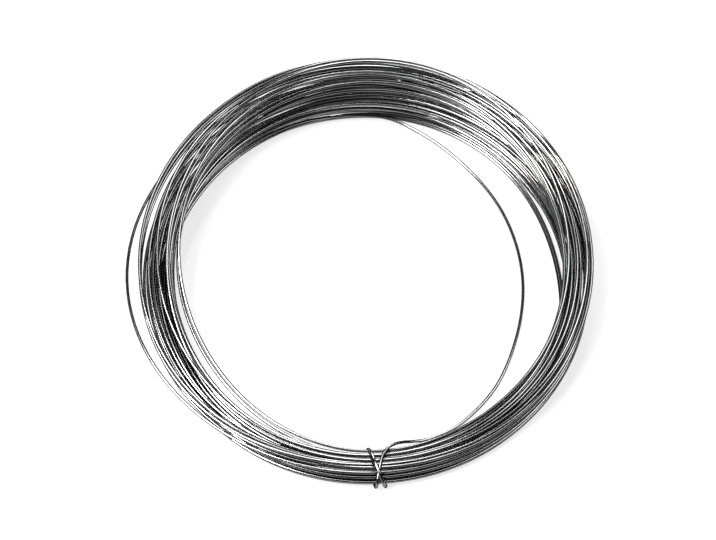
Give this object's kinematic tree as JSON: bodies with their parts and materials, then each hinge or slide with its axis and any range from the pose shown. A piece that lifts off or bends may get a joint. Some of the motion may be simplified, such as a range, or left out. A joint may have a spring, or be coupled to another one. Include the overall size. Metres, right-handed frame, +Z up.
{
  "type": "coil of craft wire",
  "caption": "Open round coil of soft silver-coloured craft wire, tied once round its turns with its own free end.",
  "frame": {"origin": "on the floor, in the middle of the coil", "axes": "+Z up along the coil's axis, the tie on the -Y side, the fanned-out turns on the +Y side"},
  "size_m": [0.086, 0.0868, 0.0154],
  "materials": {
    "wire": "bright silver-plated drawn wire, slightly tarnished, with fine draw lines"
  },
  "bodies": {
    "root": {"coil": "wire", "free_end": "wire"}
  },
  "joints": []
}
